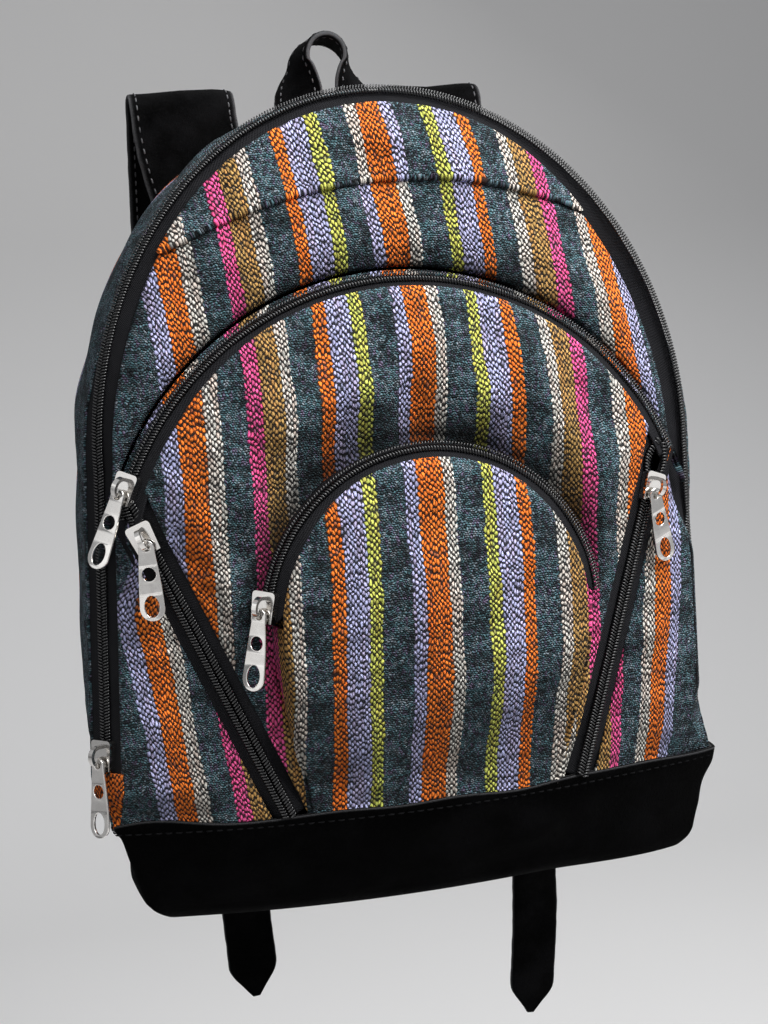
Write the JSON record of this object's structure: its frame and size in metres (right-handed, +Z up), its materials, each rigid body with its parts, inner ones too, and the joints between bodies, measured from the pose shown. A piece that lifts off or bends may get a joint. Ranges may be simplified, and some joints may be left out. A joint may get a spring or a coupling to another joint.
{
  "type": "backpack",
  "caption": "Daypack of striped handwoven cloth with arched zip pockets, slash pockets, a suede base, a grab loop and suede shoulder straps; zip sliders travel and their pulls swing.",
  "frame": {"origin": "inside top of the grab loop, where a hook bears when the bag hangs", "axes": "+Z up, front of the bag towards -Y, +X to the right as seen from the front"},
  "size_m": [0.2902, 0.1831, 0.518],
  "materials": {
    "striped_cloth": "coarse handwoven cotton in vertical stripes of orange, lilac, lime, pink, white, khaki and dark teal",
    "patch_cloth": "coarse handwoven cotton, orange",
    "zip_tape": "black woven zip tape with a black nylon coil",
    "suede": "black suede with pale edge stitching",
    "nickel": "bright nickel plating, lightly rubbed"
  },
  "bodies": {
    "bag": {"back_panel": "striped_cloth", "gusset": "striped_cloth", "front_panel": "striped_cloth", "middle_pocket_panel": "striped_cloth", "small_pocket_panel": "striped_cloth", "base_boot": "suede", "main_zip_inner_tape": "zip_tape", "main_zip_outer_tape": "zip_tape", "middle_zip_inner_tape": "zip_tape", "middle_zip_outer_tape": "zip_tape", "small_zip_inner_tape": "zip_tape", "small_zip_outer_tape": "zip_tape", "left_slash_zip_inner_tape": "zip_tape", "left_slash_zip_outer_tape": "zip_tape", "left_corner_panel": "striped_cloth", "left_zip_end_patch": "patch_cloth", "left_shoulder_strap": "suede", "left_adjuster": "suede", "left_buckle": "nickel", "right_slash_zip_inner_tape": "zip_tape", "right_slash_zip_outer_tape": "zip_tape", "right_corner_panel": "striped_cloth", "right_zip_end_patch": "patch_cloth", "right_shoulder_strap": "suede", "right_adjuster": "suede", "right_buckle": "nickel", "grab_loop": "suede"},
    "main_slider": {"main_slider": "nickel"},
    "main_pull": {"main_pull": "nickel"},
    "middle_slider": {"middle_slider": "nickel"},
    "middle_pull": {"middle_pull": "nickel"},
    "small_slider": {"small_slider": "nickel"},
    "small_pull": {"small_pull": "nickel"},
    "left_slash_slider": {"left_slash_slider": "nickel"},
    "left_slash_pull": {"left_slash_pull": "nickel"},
    "right_slash_slider": {"right_slash_slider": "nickel"},
    "right_slash_pull": {"right_slash_pull": "nickel"}
  },
  "joints": [
    {"name": "main_slide", "type": "slide", "parent": "bag", "child": "main_slider", "axis": [0.0632, 0.0835, 0.9945], "range_m": [0, 0.108]},
    {"name": "main_pull_swing", "type": "hinge", "parent": "main_slider", "child": "main_pull", "pos_m": [-0.14193, -0.11487, -0.30852], "axis": [-0.6415, 0.7668, -0.0236], "range_deg": [0, 150]},
    {"name": "middle_travel", "type": "hinge", "parent": "bag", "child": "middle_slider", "pos_m": [0, -0.1178, -0.2464], "axis": [0, 0.9999, -0.0157], "range_deg": [0, 122]},
    {"name": "middle_pull_swing", "type": "hinge", "parent": "middle_slider", "child": "middle_pull", "pos_m": [-0.12403, -0.12107, -0.19546], "axis": [-0.6542, 0.7112, 0.2572], "range_deg": [0, 150]},
    {"name": "small_travel", "type": "hinge", "parent": "bag", "child": "small_slider", "pos_m": [0.0025, -0.1388, -0.2605], "axis": [0, 0.9994, -0.0349], "range_deg": [0, 160.2]},
    {"name": "small_pull_swing", "type": "hinge", "parent": "small_slider", "child": "small_pull", "pos_m": [-0.07332, -0.1424, -0.24714], "axis": [-0.6966, 0.7109, 0.0968], "range_deg": [0, 150]},
    {"name": "left_slash_slide", "type": "slide", "parent": "bag", "child": "left_slash_slider", "axis": [-0.3792, 0.0798, 0.9219], "range_m": [-0.121, 0]},
    {"name": "left_slash_pull_swing", "type": "hinge", "parent": "left_slash_slider", "child": "left_slash_pull", "pos_m": [-0.11743, -0.12656, -0.21697], "axis": [-0.8645, 0.3246, -0.3837], "range_deg": [0, 150]},
    {"name": "right_slash_slide", "type": "slide", "parent": "bag", "child": "right_slash_slider", "axis": [0.3154, 0.0729, 0.9462], "range_m": [-0.118, 0.009]},
    {"name": "right_slash_pull_swing", "type": "hinge", "parent": "right_slash_slider", "child": "right_slash_pull", "pos_m": [0.11111, -0.12715, -0.21509], "axis": [-0.8897, -0.3241, 0.3215], "range_deg": [0, 150]}
  ]
}
